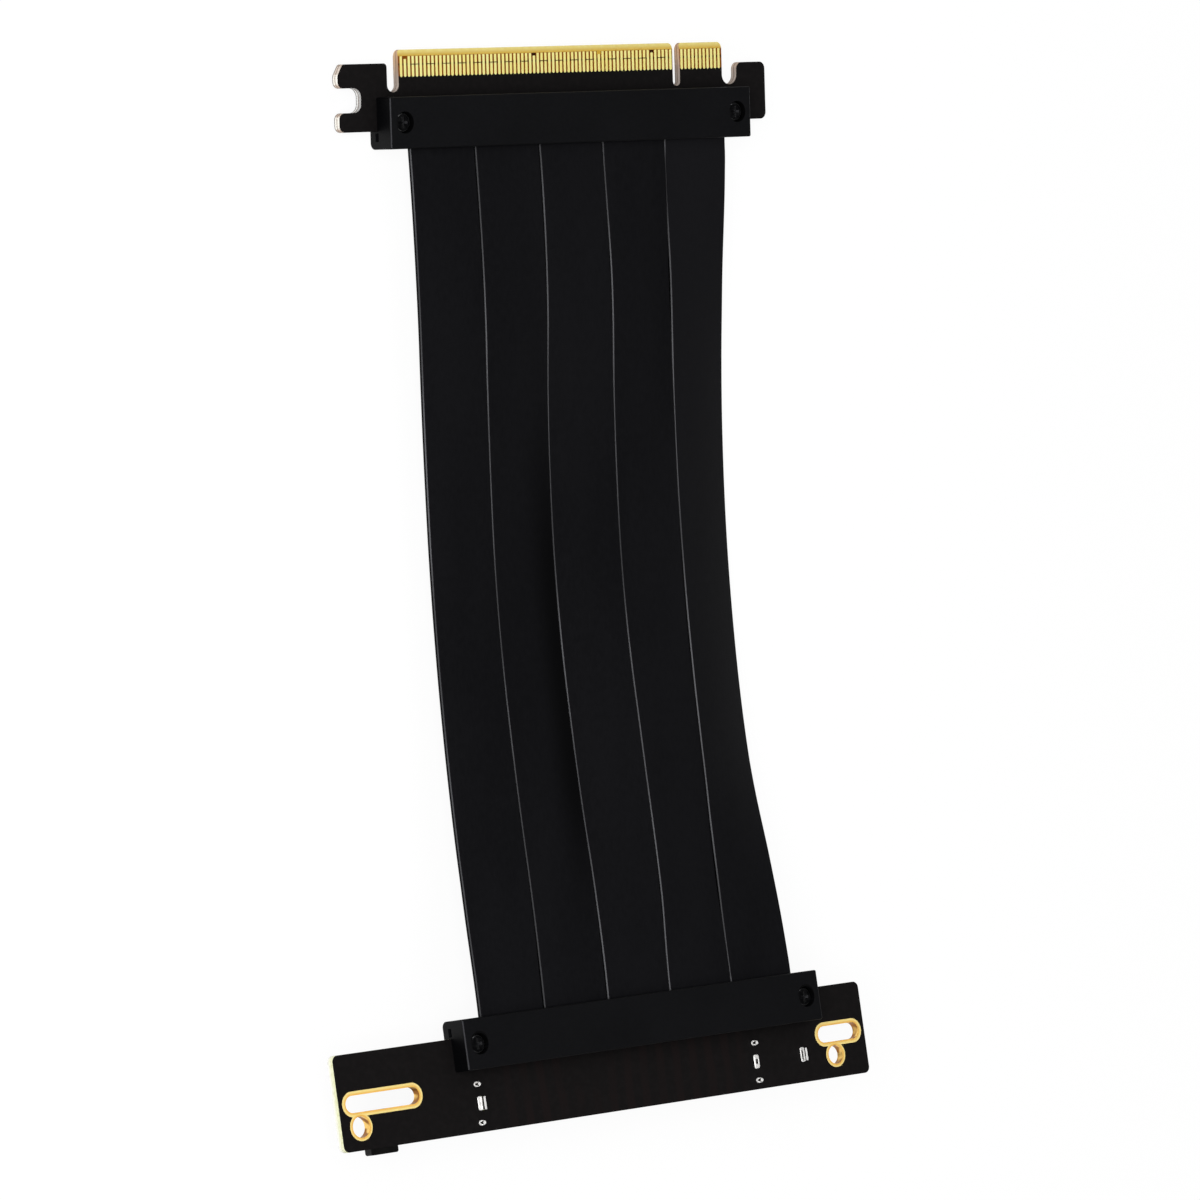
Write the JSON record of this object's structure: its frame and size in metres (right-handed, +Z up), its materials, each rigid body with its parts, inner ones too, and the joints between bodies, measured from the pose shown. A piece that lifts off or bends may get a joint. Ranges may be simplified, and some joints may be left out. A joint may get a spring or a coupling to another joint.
{
  "type": "pcie extension cable",
  "caption": "Flat extension cable for an expansion card: a plug board with gold edge fingers, side-by-side black ribbons and a longer board with a latched card slot on its back.",
  "frame": {"origin": "on the table under the middle of the whole object, midway between the slot board's ends in X", "axes": "+X along the connectors towards the key side, +Y from the slot board towards the gold fingers, +Z up"},
  "size_m": [0.1386, 0.2178, 0.0164],
  "materials": {
    "moulded_cover": "fine moulded grain",
    "board_mask": "satin solder mask",
    "ribbon_sheath": "satin",
    "contact_gold": "thin gold plating",
    "solder": "dull solder",
    "leg_metal": "tinned",
    "black_screw": "black zinc",
    "slot_plastic": "moulded"
  },
  "bodies": {
    "cable": {"plug_board": "board_mask", "plug_fingers_front": "contact_gold", "plug_fingers_back": "contact_gold", "plug_solder_pads": "solder", "plug_wire_tails": "solder", "plug_front_cover": "moulded_cover", "plug_back_cover": "moulded_cover", "plug_cover_screws": "black_screw", "ribbon_1": "ribbon_sheath", "ribbon_2": "ribbon_sheath", "ribbon_3": "ribbon_sheath", "ribbon_4": "ribbon_sheath", "ribbon_5": "ribbon_sheath", "slot_board": "board_mask", "slot_hole_plating_left": "contact_gold", "slot_hole_plating_right": "contact_gold", "slot_solder_pads": "solder", "slot_wire_tails": "solder", "slot_front_cover": "moulded_cover", "slot_back_cover": "moulded_cover", "slot_cover_screws": "black_screw", "slot_housing": "slot_plastic", "slot_contacts_inner": "contact_gold", "slot_contacts_outer": "contact_gold", "slot_board_legs": "leg_metal", "slot_leg_joints": "solder"},
    "latch": {"slot_latch": "slot_plastic"}
  },
  "joints": [
    {"name": "latch_pivot", "type": "hinge", "parent": "cable", "child": "latch", "pos_m": [-0.039, -0.10085, 0.00778], "axis": [0, 0.9857, -0.1685], "range_deg": [0, 20]}
  ]
}
